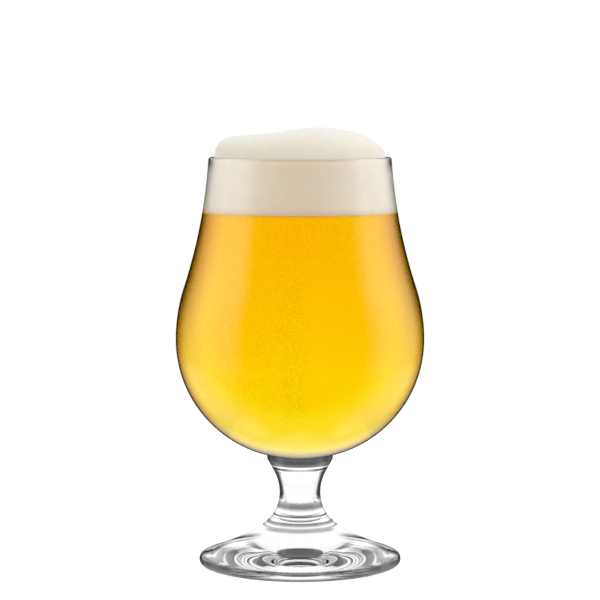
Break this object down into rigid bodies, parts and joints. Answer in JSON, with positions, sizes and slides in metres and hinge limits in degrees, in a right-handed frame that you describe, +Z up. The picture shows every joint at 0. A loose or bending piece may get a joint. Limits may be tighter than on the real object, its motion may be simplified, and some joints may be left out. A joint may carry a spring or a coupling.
{
  "type": "stemmed beer glass",
  "caption": "Footed beer glass with a tulip bowl, a short waisted stem and a collar, filled with golden lager under a tall cream head of foam.",
  "frame": {"origin": "centre of the foot on the table plane", "axes": "+Z up along the axis of the glass, +X towards the peak of the foam, -Y towards the viewer"},
  "size_m": [0.0948, 0.0948, 0.1667],
  "materials": {
    "glass": "fire-polished clear soda-lime glass",
    "beer": "clear golden liquid",
    "foam": "fine matt foam"
  },
  "bodies": {
    "root": {"foot": "glass", "stem": "glass", "collar": "glass", "bowl": "glass", "beer": "beer", "foam_head": "foam"}
  },
  "joints": []
}
